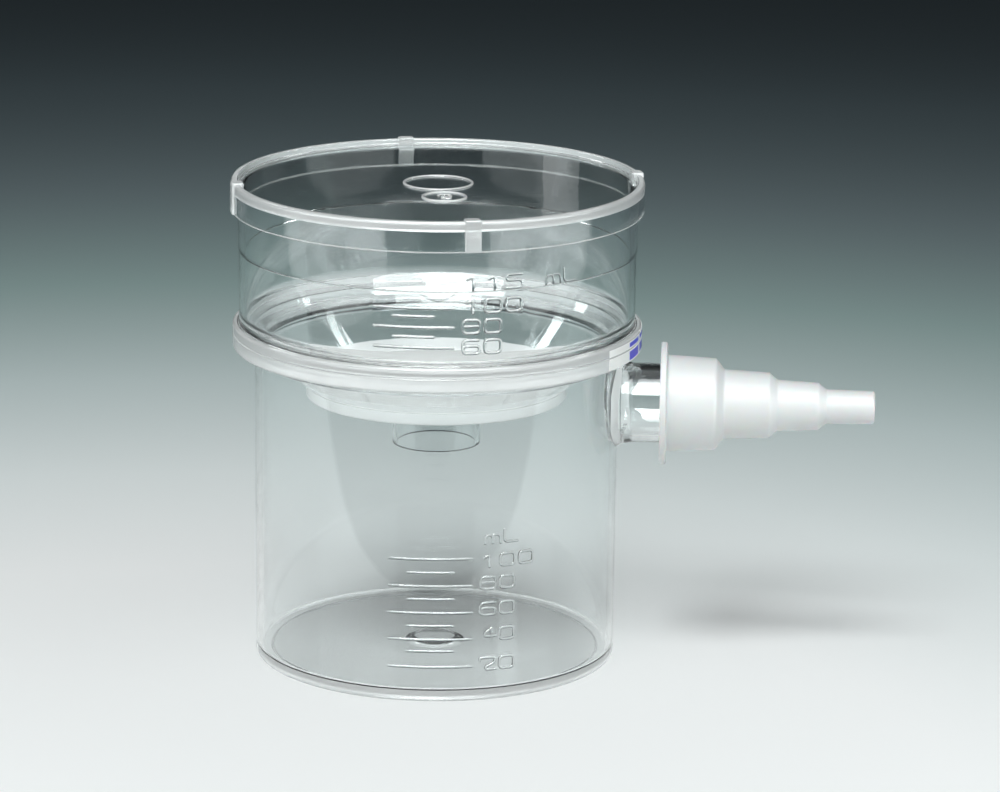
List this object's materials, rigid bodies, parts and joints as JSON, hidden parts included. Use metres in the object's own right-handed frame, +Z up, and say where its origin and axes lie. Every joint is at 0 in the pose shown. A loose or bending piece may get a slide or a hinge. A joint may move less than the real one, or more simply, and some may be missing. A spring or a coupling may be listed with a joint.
{
  "type": "vacuum filtration unit",
  "caption": "Clear graduated filter funnel with lid and membrane on a clear graduated receiver with a side arm and a stepped tubing adapter.",
  "frame": {"origin": "centre of the receiver's foot, on the surface it stands on", "axes": "+Z up along the unit's axis, +X out along the side arm"},
  "size_m": [0.1277, 0.0814, 0.0969],
  "materials": {
    "clear_polystyrene": "clear, injection moulded in a polished mould",
    "membrane": "microporous, matt white",
    "adapter_white": "fine matt, injection moulded"
  },
  "bodies": {
    "receiver": {"receiver": "clear_polystyrene"},
    "funnel": {"upper_chamber": "clear_polystyrene", "membrane": "membrane", "support_plate": "clear_polystyrene"},
    "lid": {"lid": "clear_polystyrene"},
    "adapter": {"tubing_adapter": "adapter_white"}
  },
  "joints": [
    {"name": "funnel_lift", "type": "slide", "parent": "receiver", "child": "funnel", "axis": [0, 0, 1], "range_m": [0, 0.04]},
    {"name": "lid_lift", "type": "slide", "parent": "funnel", "child": "lid", "axis": [0, 0, 1], "range_m": [0, 0.03]},
    {"name": "adapter_pull", "type": "slide", "parent": "receiver", "child": "adapter", "axis": [1, 0, 0], "range_m": [0, 0.02]}
  ]
}
